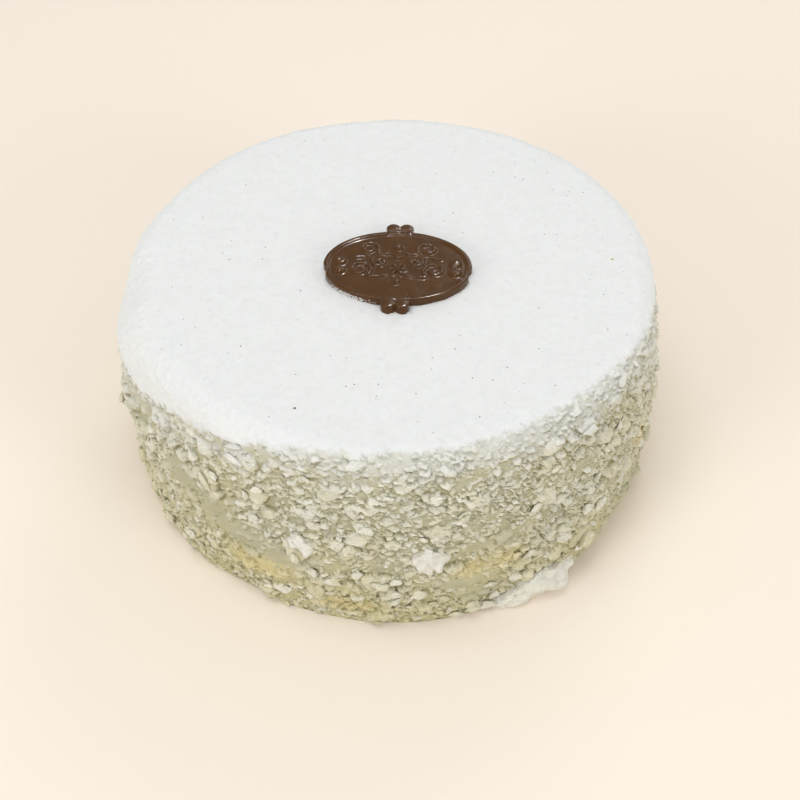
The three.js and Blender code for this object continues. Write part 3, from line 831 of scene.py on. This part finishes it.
class Coat:
    """The side and the rim as a grid of azimuths and drops, built up flake by flake."""

    def __init__(self):
        self.rows = round((WHOLE_DROP - COAT_START) / COAT_STEP) + 1
        self.azimuth = np.arange(COAT_COLUMNS) * FULL_TURN / COAT_COLUMNS
        self.drop = np.linspace(COAT_START, WHOLE_DROP, self.rows)
        self.along = FULL_TURN * BELLY_RADIUS / COAT_COLUMNS
        self.down = self.drop[1] - self.drop[0]
        azimuth, drop = self.everywhere()
        plain = surface(azimuth, drop)
        layered = plain * (1, 1, LUMP_STRETCH)
        height = plain[:, 2]
        bare = patches(azimuth, height, BARE_PATCHES)
        crowd = 0.80 + rough(layered, (0.6, 11, 2), (0.45, 4.5, 3))
        cream = rough(layered, (0.6, 14, 5), (0.28, 4.6, 6)) + rough(plain, (0.10, 1.7, 12))
        fields = {
            "height": height,
            "sugar": fallen(azimuth, drop, plain, *SUGAR_FALL),
            "dust": fallen(azimuth, drop, plain, *DUST_FALL),
            "bare": bare,
            "golden": patches(azimuth, height, GOLDEN_PATCHES),
            "crowd": np.clip(crowd, 0, 1) * (1 - 0.92 * bare),
            "waves": top_waves(plain),
            "lift": cream + 0.5 * bare - COAT_SUNK,
            "tone": np.clip(0.16 + rough(layered, (0.14, 3.0, 13)), 0, 1),
            "grit": rough(plain, (0.16, 1.7, 14), (0.04, 0.9, 17)),
        }
        for name, values in fields.items():
            setattr(self, name, values.reshape(self.rows, COAT_COLUMNS))
        self.wander = [
            noise(plain, size, SEED + 20 + number).reshape(self.rows, COAT_COLUMNS)
            for number, size in enumerate(WANDER_SIZES)
        ]

    def everywhere(self):
        """Azimuth and drop of every place of the grid."""
        return np.tile(self.azimuth, self.rows), np.repeat(self.drop, COAT_COLUMNS)

    def stamp(self, *flakes):
        """Lays flakes over the coat, each a tilted chip with a frayed outline.

        Takes arrays of azimuth, row, length, breadth, lean, slopes up and along, thickness, tone
        and chance, where a chance above the coat's crowding leaves the flake out.
        """
        for flake in np.stack(flakes, 1).tolist():
            azimuth, row, length, breadth, lean, tip, sway, thick, tone, chance = flake
            column = azimuth / FULL_TURN * COAT_COLUMNS
            near = (min(max(round(row), 0), self.rows - 1), round(column) % COAT_COLUMNS)
            if chance > self.crowd[near]:
                continue
            reach = FLAKE_REACH * length
            first = max(0, math.floor(row - reach / self.down))
            last = min(self.rows, math.ceil(row + reach / self.down) + 1)
            span = math.ceil(reach / self.along)
            columns = np.arange(math.floor(column) - span, math.ceil(column) + span + 1)
            area = (slice(first, last), columns % COAT_COLUMNS)
            x = (columns - column)[None, :] * self.along
            y = (row - np.arange(first, last))[:, None] * self.down
            for most, share, pair in FRAYS:
                fray = min(most, share * length)
                x = x + fray * self.wander[pair][area]
                y = y + fray * self.wander[pair + 1][area]
            u, v = turned(x, y, lean)
            u, v = u / (length / 2), v / (breadth / 2)
            share = np.hypot(u, v)
            body = np.clip((1 - share) * EDGE_STEEPNESS, 0, 1) ** EDGE_ROUNDING
            under = 0.6 * self.lift[near] - 0.4 * COAT_SUNK
            top = under + body * (thick * (1 + sway * u + tip * v) + self.grit[area])
            better = (share < 1) & (top > self.lift[area])
            self.lift[area] = np.where(better, top, self.lift[area])
            self.tone[area] = np.where(better, tone, self.tone[area])

    def layer(self, rng, count, shortest, longest, thickest):
        """One layer of flakes, spread over the whole coat."""
        azimuth, level = even_spots(count, rng)
        length = within((shortest, longest), rng.random(count) ** 2)
        tone = 0.50 + 0.32 * rng.random(count)
        white = rng.random(count) < WHITE_SHARE
        self.stamp(
            azimuth,
            (1 - level) * (self.rows - 1),
            length,
            length * rng.uniform(*FLAKE_BREADTHS, count),
            rng.normal(0, FLAKE_LEAN, count),
            rng.normal(*FLAKE_TIP, count),
            rng.normal(0, FLAKE_SWAY, count),
            thickest * rng.uniform(0.45, 1.0, count),
            np.where(white, 0.96, tone),
            np.maximum(rng.random(count) - STRAY_SHARE, 0),
        )

    def lumps(self, rng):
        """Lumps where the construction has its fused crumbs."""
        spots = large_spots()
        count = len(spots["azimuth"])
        self.stamp(
            spots["azimuth"] % FULL_TURN,
            (spots["drop"] - COAT_START) / self.down,
            spots["length"],
            spots["breadth"],
            spots["lean"],
            rng.normal(-0.2, 0.15, count),
            rng.normal(0, 0.15, count),
            LUMP_THICKNESS * rng.uniform(0.6, 1.0, count),
            0.4 + 0.4 * rng.random(count),
            np.full(count, -1.0),
        )

    def blurred(self, values, reach):
        """Values averaged over about `reach` mm round each place."""
        for axis, step, mode in ((0, self.down, "edge"), (1, self.along, "wrap")):
            half = max(1, round(reach / step / 2))
            width = 2 * half + 1
            pad = [(0, 0), (0, 0)]
            pad[axis] = (half + 1, half)
            for _ in range(2):
                total = np.cumsum(np.pad(values, pad, mode=mode), axis=axis)
                upper = np.take(total, np.arange(width, total.shape[axis]), axis=axis)
                lower = np.take(total, np.arange(0, total.shape[axis] - width), axis=axis)
                values = (upper - lower) / width
        return values

    def settle(self):
        """Works out the painted shade of crevices and of shadows under flakes, lays the icing sugar
        over everything and places the points.
        """
        # painted shade: in crevices, and as shadow below flakes that stand out just above
        hollow = np.clip((self.blurred(self.lift, 1.6) - self.lift - 0.12) / 0.55, 0, 1)
        overhead = np.maximum(np.roll(self.lift, 1, axis=0), np.roll(self.lift, 2, axis=0))
        under = np.clip((overhead - self.lift - 0.22) / 0.45, 0, 1)
        self.painted_shade = np.maximum(0.75 * hollow, under)
        below = self.drop[:, None] - sugar_edge(self.azimuth)[None]
        self.calm = CALM_LEAST + (1 - CALM_LEAST) * smooth(-2, CALM_BELOW, below)
        foot = smooth(0, 1.2, self.height)
        thick = smooth(0.25, 1.0, self.sugar)
        granular = 0.5 * smooth(COAT_START, COAT_START + 4, self.drop)
        granular = granular + 1.3 * smooth(-2, 5, self.drop)
        settled = self.waves + granular[:, None] * self.grit
        self.lift = self.lift * self.calm * foot * (1 - thick) + settled * thick
        self.around = self.blurred(self.lift, 2.0)
        self.white = np.maximum(self.sugar, DUST_STRENGTH * self.dust)
        points = surface(*self.everywhere(), self.lift.ravel())
        points[:, 2] = np.maximum(points[:, 2], 0)
        self.points = points.reshape(self.rows, COAT_COLUMNS, 3)

    def at(self, values, azimuth, drop):
        """Values of the grid at any azimuths and drops, from the nearest point."""
        row = np.clip(np.round((drop - COAT_START) / self.down).astype(int), 0, self.rows - 1)
        column = np.round(azimuth / FULL_TURN * COAT_COLUMNS).astype(int) % COAT_COLUMNS
        return values[row, column]

    def sector(self, number):
        """Points, triangles and masks of one sector, closed underneath by its share of the base."""
        first = round(COAT_COLUMNS * (number - 0.5) / COAT_SECTORS)
        columns = np.arange(first, first + COAT_COLUMNS // COAT_SECTORS + 1) % COAT_COLUMNS
        azimuth = self.azimuth[columns]
        base = [at_azimuth(azimuth, radius, 0)[None] for radius in (BASE_FLAT_RADIUS, 1.0)]
        points = np.concatenate([self.points[:, columns], *base])
        rows, width = points.shape[:2]
        corner = (np.arange(rows - 1)[:, None] * width + np.arange(width - 1)[None]).ravel()
        near = np.stack([corner, corner + width, corner + width + 1], 1)
        far = np.stack([corner, corner + width + 1, corner + 1], 1)
        shown = {"sugar": self.white, "painted_shade": self.painted_shade, "tone": self.tone}
        shown |= {"bare": self.bare, "golden": self.golden}
        masks = {}
        for mask, values in shown.items():
            masks[mask] = np.concatenate([values[:, columns].ravel(), np.zeros(2 * width)])
        return points.reshape(-1, 3), np.concatenate([near, far]), masks


def make_coat(coat, material):
    """The coat in sectors."""
    for number in range(COAT_SECTORS):
        piece = make_mesh(f"cake_coat_{number + 1}", *coat.sector(number))
        finish_piece(piece, material, "cake", "cake")


def fan_faces(middle, first, count):
    """Triangles between a middle point and a ring of `count` points."""
    step = np.arange(count)
    return np.stack([np.full(count, middle), first + step, first + (step + 1) % count], 1)


def ring_faces(first, second, count):
    """Triangles between two rings of `count` points that start at two indices."""
    step = np.arange(count)
    after = (step + 1) % count
    near = np.stack([first + step, second + step, second + after], 1)
    far = np.stack([first + step, second + after, first + after], 1)
    return np.concatenate([near, far])


def joining_faces(inner, outer, inner_count, outer_count):
    """Triangles between an inner ring and an outer one with a whole number of times its points."""
    share = outer_count // inner_count
    step = np.arange(outer_count)
    after = outer + (step + 1) % outer_count
    owner = inner + ((step + share // 2) // share) % inner_count
    following = np.roll(owner, -1)
    turning = np.flatnonzero(owner != following)
    fans = np.stack([owner, outer + step, after], 1)
    ends = np.stack([owner[turning], after[turning], following[turning]], 1)
    return np.concatenate([fans, ends])


def top_points(azimuth, radius):
    """Points of the icing sugar on the flat top, a little heaped against the plaque."""
    points = sugar_top(azimuth, radius - FLAT_RADIUS)
    beyond = beyond_plaque(points[:, 0], points[:, 1])
    slope = np.exp(-((np.maximum(beyond, 0) / SUGAR_HEAP_WIDTH) ** 2))
    points[:, 2] += SUGAR_HEAP * slope * smooth(-1.5, 0, beyond)
    return points


def make_top():
    """The flat top under its icing sugar, from the middle out to where the coat starts."""
    rings = []
    for start, stop, share in TOP_BANDS:
        for radius in np.arange(start, stop - 0.5 * TOP_STEP, TOP_STEP):
            rings.append((COAT_COLUMNS // share, radius))
    rings.append((COAT_COLUMNS, FLAT_RADIUS + COAT_START))
    azimuth = np.concatenate([np.arange(n) * FULL_TURN / n for n, _ in rings])
    radius = np.concatenate([np.full(n, r) for n, r in rings])
    middle = len(azimuth)
    points = np.concatenate([top_points(azimuth, radius), top_points(np.zeros(1), np.zeros(1))])
    faces = [fan_faces(middle, 0, rings[0][0])]
    start = 0
    for (here, _), (there, _) in zip(rings, rings[1:]):
        if here == there:
            faces.append(ring_faces(start, start + here, here))
        else:
            faces.append(joining_faces(start, start + here, here, there))
        start += here
    one = np.ones(len(points))
    piece = make_mesh("cake_top", points, np.concatenate(faces), {"sugar": one, "tone": one})
    finish_piece(piece, sugar_material(), "cake", "cake")


# ---- crumbs and larger pieces ---------------------------------------------------------------


def even_spots(count, rng):
    """Evenly spread azimuths and shares of the height, a little shaken."""
    step = np.arange(count)
    azimuth = FULL_TURN * ((step * EVEN_TURN + rng.random()) % 1)
    level = (step * EVEN_CLIMB + rng.random()) % 1
    azimuth = azimuth + rng.normal(0, 0.35, count) * FULL_TURN / math.sqrt(count * 7)
    return azimuth, np.clip(level + rng.normal(0, 0.3, count) / math.sqrt(count), 0, 1)


def near_pieces(azimuth, height):
    """True where a larger meringue piece lies."""
    hit = np.zeros(azimuth.shape, bool)
    for at, level, radius, half, up, _, climb, _ in PIECES.values():
        along = turn_between(azimuth, math.radians(at)) * radius
        off = (along / (half * 0.94)) ** 2 + ((height - level - climb * along) / (up * 0.9)) ** 2
        hit |= off < 1
    return hit


def chosen(spots, keep):
    """The spots that are kept."""
    return {key: value[keep] for key, value in spots.items()}


def crumb_spots(kind, seed, coat):
    """Places and sizes of one kind of crumb, spread over the side and up to the sugar's edge."""
    count = kind.count
    rng = np.random.default_rng(seed)
    azimuth, level = even_spots(count, rng)
    drop = LOWEST_CRUMB - LOWEST_CRUMB * within(kind.levels, level)
    keep = coat.at(coat.sugar, azimuth, drop) < kind.sugar
    keep &= rng.random(count) < coat.at(coat.crowd, azimuth, drop) + STRAY_SHARE
    keep &= ~near_pieces(azimuth, surface(azimuth, drop)[:, 2])
    length = within(kind.lengths, rng.random(count) ** 2.2)
    breadth = length * rng.uniform(*CRUMB_BREADTHS, count)
    spots = {
        "azimuth": azimuth,
        "drop": drop,
        "lean": rng.normal(0, CRUMB_LEAN, count),
        "length": length,
        "breadth": breadth,
        "thickness": breadth * rng.uniform(*kind.flatness, count),
        "lift": rng.uniform(*kind.lifts, count),
        "tone": 0.45 + kind.paler + (0.5 - 0.5 * kind.paler) * rng.random(count) ** 1.3,
    }
    return chosen(spots, keep)


def large_spots():
    """The flakes that stand out, and the crumbs that the construction fuses to the side."""
    index = np.arange(CRUMB_COUNT)
    rank = index / (CRUMB_COUNT - 1)
    level = (index * EVEN_CLIMB + 0.03 * draw(index, 1)) % 1
    length = within(CRUMB_LENGTHS, np.sqrt(rank))
    crumbs = np.stack([
        np.degrees(FULL_TURN * index * EVEN_TURN) + 6 * (draw(index, 2) - 0.5),
        within(CRUMB_HEIGHTS, level),
        length,
        length * (0.55 + 0.25 * draw(index, 5)),
        50 * (draw(index, 6) - 0.5),
    ], 1)
    azimuth, height, length, breadth, lean = np.concatenate([np.array(FLAKES, float), crumbs]).T
    azimuth = np.radians(azimuth)
    spots = {
        "azimuth": azimuth,
        "drop": drop_at(height),
        "lean": np.radians(lean),
        "length": length,
        "breadth": breadth,
        "thickness": 0.55 * breadth,
        "lift": np.full(len(azimuth), 0.3),
        "tone": 0.6 + 0.4 * np.random.default_rng(SEED + 30).random(len(azimuth)),
    }
    return chosen(spots, ~near_pieces(azimuth, height))


def marked_spots():
    """The bright crumbs that stand out."""
    azimuth, height, length, breadth = np.array(MARKED_CRUMBS).T
    count = len(azimuth)
    rng = np.random.default_rng(SEED + 31)
    return {
        "azimuth": np.radians(azimuth),
        "drop": drop_at(height),
        "lean": rng.normal(0, 0.16, count),
        "length": length,
        "breadth": breadth,
        "thickness": 0.62 * breadth,
        "lift": np.full(count, 0.36),
        "tone": rng.uniform(0.85, 1.0, count),
    }


def chipped(points, rng):
    """A ball's points made lumpy and chipped by flat cuts, like a broken bit of meringue."""
    swelling = rough(points + 20 * rng.random(3), (0.42, 0.8, 0), (0.30, 0.4, 0))
    shape = points * (1 + swelling)[:, None]
    for cut in range(CRUMB_CUTS):
        normal = rng.normal(size=3)
        if cut == 0:
            normal = np.array([0, 0, 1]) + 0.3 * normal  # the face that shows
        normal /= np.linalg.norm(normal)
        over = np.maximum(shape @ normal - rng.uniform(*CUT_REACH), 0)
        shape = shape - 0.92 * over[:, None] * normal
    return shape


def scatter(name, spots, subdivisions, seed, coat, material):
    """One mesh of many crumbs. `spots` holds arrays of azimuth, drop, size, shape and lift."""
    rng = np.random.default_rng(seed)
    ball_points, ball_faces = ball(subdivisions)
    variants = np.stack([chipped(ball_points, rng) for _ in range(CRUMB_SHAPES)])
    where = (spots["azimuth"], spots["drop"])
    count = len(where[0])
    along, up, out = frames_on_side(*where)
    along, up = turned(along, up, spots["lean"][:, None])
    along, out = turned(along, out, rng.normal(0, 0.22, (count, 1)))
    up, out = turned(up, out, rng.normal(0, 0.28, (count, 1)))
    golden = coat.at(coat.golden, *where) * (rng.random(count) < 0.75)
    base = surface(*where, coat.at(coat.around, *where))
    thick = spots["thickness"]
    lift = spots["lift"] + 0.5 * (coat.at(coat.calm, *where) - 1)
    middle = base + out * (lift * thick)[:, None]
    half = np.stack([spots["length"], spots["breadth"], thick], 1) / 2
    local = variants[rng.integers(CRUMB_SHAPES, size=count)] * half[:, None, :]
    points = middle[:, None, :] + local @ np.stack([along, up, out], 1)
    # none reaches under the base
    points[:, :, 2] += np.maximum(0.25 - points[:, :, 2].min(1), 0)[:, None]
    rise = ((points - base[:, None, :]) * out[:, None, :]).sum(2)
    # painted shade on each crumb, near where it meets the coat
    painted_shade = CRUMB_SHADE * np.clip(1 - rise / CRUMB_FADE, 0, 1)
    dusted = coat.at(coat.white, *where)[:, None] + 0 * rise
    masks = {
        "sugar": dusted,
        "painted_shade": painted_shade * (1 - coat.at(coat.sugar, *where)[:, None]),
        "tone": spots["tone"][:, None] + 0 * rise,
        "golden": golden[:, None] * (1 - dusted),
    }
    masks = {key: values.ravel() for key, values in masks.items()}
    faces = repeated(ball_faces, count, len(ball_points))
    finish_piece(make_mesh(name, points.reshape(-1, 3), faces, masks), material, "cake")


def make_crumbs(coat, material):
    """Every kind of crumb that stands out of the coat, largest first."""
    large = large_spots()
    number = np.arange(len(large["azimuth"]))
    large = chosen(large, (number < len(FLAKES)) | (number % LOOSE_LUMPS == 0))
    for key in ("length", "breadth"):
        large[key] = SHOWN_SHARE * large[key]
    scatter("crumbs_large", large, 3, SEED + 40, coat, material)
    scatter("crumbs_marked", marked_spots(), 3, SEED + 41, coat, material)
    for number, (name, kind) in enumerate(CRUMB_KINDS.items()):
        spots = crumb_spots(kind, SEED + 50 + number, coat)
        scatter(name, spots, kind.fineness, SEED + 60 + number, coat, material)


def make_meringue_piece(name, spec, number):
    """A larger piece of meringue that follows the curve of the side."""
    at, level, radius, half_along, half_up, half_out, climb, taper = spec
    unit, faces = ball(5)
    x, y, z = unit.T
    wander = np.sin(5.1 * x + 3.3 * y) + np.sin(4.3 * z - 6.1 * y) * np.cos(7.2 * x)
    girth = (1 + PIECE_ROUGHNESS * wander) * (1 + taper * x)
    along = x * half_along
    flat = np.stack([along, y * half_up * girth + climb * along, z * half_out * girth], 1)
    push = rough(flat, (0.9, 5.5, 80 + number), (0.5, 2.0, 83 + number))
    push += 1.1 * cobbles(flat, 4.4, SEED + 86 + number) - 0.8
    push += 0.5 * cobbles(flat, 1.9, SEED + 95 + number)
    direction = unit / (half_along, half_up, half_out)
    direction /= np.linalg.norm(direction, axis=1)[:, None]
    flat = flat + direction * push[:, None]
    azimuth = math.radians(at) + flat[:, 0] / radius
    rise = flat[:, 2]
    height = np.maximum(level + flat[:, 1], 0.02)
    masks = {
        "tone": 0.75 + rough(flat, (0.25, 5, 90)),
        # painted shade where the piece lies close against the side
        "painted_shade": np.clip(0.35 - rise / 5, 0, 0.6),
        "golden": np.clip(0.6 - height / 5, 0, 0.5) * (noise(flat, 6, SEED + 91) > 0),
    }
    piece = make_mesh(f"{name}_baked", at_azimuth(azimuth, radius + rise, height), faces, masks)
    finish_piece(piece, meringue_material(name, 0.8), "meringue", name)


# ---- the plaque and the specks --------------------------------------------------------------


def make_plaque():
    """The moulded chocolate plaque as one closed body."""
    angle = np.arange(PLAQUE_SEGMENTS) * FULL_TURN / PLAQUE_SEGMENTS
    edge = plaque_reach(angle)

    def ring(reach, height):
        return np.stack([reach * np.cos(angle), reach * np.sin(angle), 0 * angle + height], 1)

    def top_ring(reach, sunk=0.0):
        flat = ring(reach, 0)
        return ring(reach, plaque_top(flat[:, 0], flat[:, 1], angle, reach) - sunk)

    wall_top = PLAQUE_THICKNESS - EDGE_ROUND
    rings = []
    wall = [(EDGE_ROUND, 0.0), (0.15, 0.12)]
    wall += [(0.0, height) for height in np.linspace(EDGE_ROUND, wall_top, 7)]
    for inset, height in wall:
        here = ring(edge - inset, height)
        uneven = rough(here, (0.10, 1.3, 100), (0.06, 0.6, 101))
        here[:, :2] *= (1 + uneven / edge)[:, None]
        rings.append(here)
    for lean in np.linspace(0, math.pi / 2, 6)[1:]:
        sunk = EDGE_ROUND * (1 - math.sin(lean))
        rings.append(top_ring(edge - EDGE_ROUND * (1 - math.cos(lean)), sunk))
    for row in range(1, PLAQUE_ROWS):
        here = top_ring((edge - EDGE_ROUND) * (1 - row / PLAQUE_ROWS))
        here[:, 2] += rough(here * (1, 1, 0), (0.03, 6, 102), (0.008, 1.2, 103))
        rings.append(here)
    face = PLAQUE_THICKNESS - FACE_SUNK + face_relief(np.zeros(1), np.zeros(1))[0]
    points = np.concatenate([*rings, [[0, 0, 0], [0, 0, face]]])
    bottom = len(points) - 2
    last = bottom - PLAQUE_SEGMENTS
    triangles = [
        ring_faces(start, start + PLAQUE_SEGMENTS, PLAQUE_SEGMENTS)[:, ::-1]
        for start in range(0, last, PLAQUE_SEGMENTS)
    ]
    triangles.append(fan_faces(bottom, 0, PLAQUE_SEGMENTS)[:, ::-1])
    triangles.append(fan_faces(bottom + 1, last, PLAQUE_SEGMENTS))
    around = np.arctan2(points[:, 1], points[:, 0])
    powder = np.exp(-((turn_between(around, POWDER_ANGLE) / POWDER_WIDTH) ** 2))
    powder = powder * smooth(wall_top, 0.5 * wall_top, points[:, 2])
    triangles = np.concatenate(triangles)
    piece = make_mesh("plaque_moulded", to_cake(points), triangles, {"powder": powder})
    finish_piece(piece, chocolate_material(), "chocolate", "chocolate_plaque")


def make_specks(name, x, y, size, seed, material):
    """Flat flecks lying in the icing sugar."""
    rng = np.random.default_rng(seed)
    unit, faces = ball(1)
    count = len(x)
    turn = rng.random(count) * FULL_TURN
    stretch = rng.uniform(0.6, 1.0, count)
    shape = unit[None] * (1 + 0.3 * (rng.random((count, len(unit), 1)) - 0.5))
    half = np.stack([size / 2, size / 2 * stretch, size * 0.22], 1)
    along, across, rise = np.moveaxis(shape * half[:, None, :], 2, 0)
    along, across = turned(along, across, -turn[:, None])
    height = sugar_top(np.arctan2(x, -y), np.hypot(x, y) - FLAT_RADIUS)[:, 2]
    middle = np.stack([x, y, height + 0.05], 1)[:, None]
    points = (middle + np.stack([along, across, rise], -1)).reshape(-1, 3)
    finish_piece(make_mesh(name, points, repeated(faces, count, len(unit))), material, "cake")


def make_all_specks():
    """Vanilla specks over the whole top, and one fleck of zest."""
    rng = np.random.default_rng(SEED + 110)
    radius = SPECK_FIELD * np.sqrt(rng.random(SPECK_COUNT))
    azimuth = rng.random(SPECK_COUNT) * FULL_TURN
    size = within(SPECK_SIZES, rng.random(SPECK_COUNT) ** 4)
    specks = at_azimuth(azimuth, radius, size)
    specks = specks[beyond_plaque(specks[:, 0], specks[:, 1]) > SPECK_GAP]
    specks = np.concatenate([specks, MARKED_SPECKS])
    vanilla = speck_material("vanilla", *VANILLA_COLOURS)
    make_specks("vanilla_specks", *specks.T, SEED + 111, vanilla)
    zest = speck_material("zest", *ZEST_COLOURS)
    make_specks("zest_fleck", *np.array([ZEST_SPOT]).T, SEED + 112, zest)


# ---- stage, light and camera ----------------------------------------------------------------


def make_stage():
    """A plain pale floor."""
    size = FLOOR_HALF_SIZE
    mesh = bpy.data.meshes.new("floor")
    corners = [(-size, -size, 0), (size, -size, 0), (size, size, 0), (-size, size, 0)]
    mesh.from_pydata(corners, [], [(0, 1, 2, 3)])
    nodes = Nodes("floor")
    colour = nodes.blend(nodes.grain(400, 1), *FLOOR_COLOURS)
    mesh.materials.append(nodes.finish(colour, {"Roughness": 0.9, "Specular IOR Level": 0.1}))
    put_in_scene(bpy.data.objects.new("floor", mesh))


def make_lights():
    """Soft round lamps, and a small one that shows in gloss alone for glints on the chocolate."""
    for name, (place, aim, size, power) in LAMPS.items():
        light = bpy.data.lights.new(name, "AREA")
        light.shape = "DISK"
        light.size = size
        light.energy = power
        lamp = put_in_scene(bpy.data.objects.new(name, light))
        lamp.location = place
        heading = Vector((0, 0, aim)) - Vector(place)
        lamp.rotation_euler = heading.to_track_quat("-Z", "Y").to_euler()
        lamp.visible_diffuse = name != GLOSS_LAMP
    world = bpy.data.worlds.new("studio")
    world.use_nodes = True
    background = world.node_tree.nodes["Background"]
    background.inputs["Color"].default_value = WORLD_COLOUR
    background.inputs["Strength"].default_value = WORLD_STRENGTH
    bpy.context.scene.world = world


def make_camera():
    """A camera at the photograph's place and angle."""
    data = bpy.data.cameras.new("camera")
    data.lens = CAMERA_LENS
    data.sensor_width = 36
    data.sensor_fit = "HORIZONTAL"
    data.clip_start = 0.01
    camera = put_in_scene(bpy.data.objects.new("camera", data))
    tilt = Euler((math.radians(CAMERA_TILT), 0, 0)).to_matrix()
    roll = Matrix.Rotation(math.radians(-CAMERA_ROLL), 3, "Z")
    turn = (tilt @ roll).to_quaternion()
    camera.matrix_world = Matrix.LocRotScale(Vector(CAMERA_PLACE), turn, None)
    bpy.context.scene.camera = camera


def main():
    """Builds the whole scene."""
    make_camera()
    make_stage()
    make_lights()
    make_top()
    coat = Coat()
    rng = np.random.default_rng(SEED + 10)
    coat.lumps(rng)
    for layer in COAT_LAYERS:
        coat.layer(rng, *layer)
    coat.settle()
    meringue = meringue_material("crushed_meringue")
    make_coat(coat, meringue)
    make_crumbs(coat, meringue)
    for number, (name, spec) in enumerate(PIECES.items()):
        make_meringue_piece(name, spec, number)
    make_plaque()
    make_all_specks()
    bpy.context.scene.view_settings.view_transform = "Standard"


main()
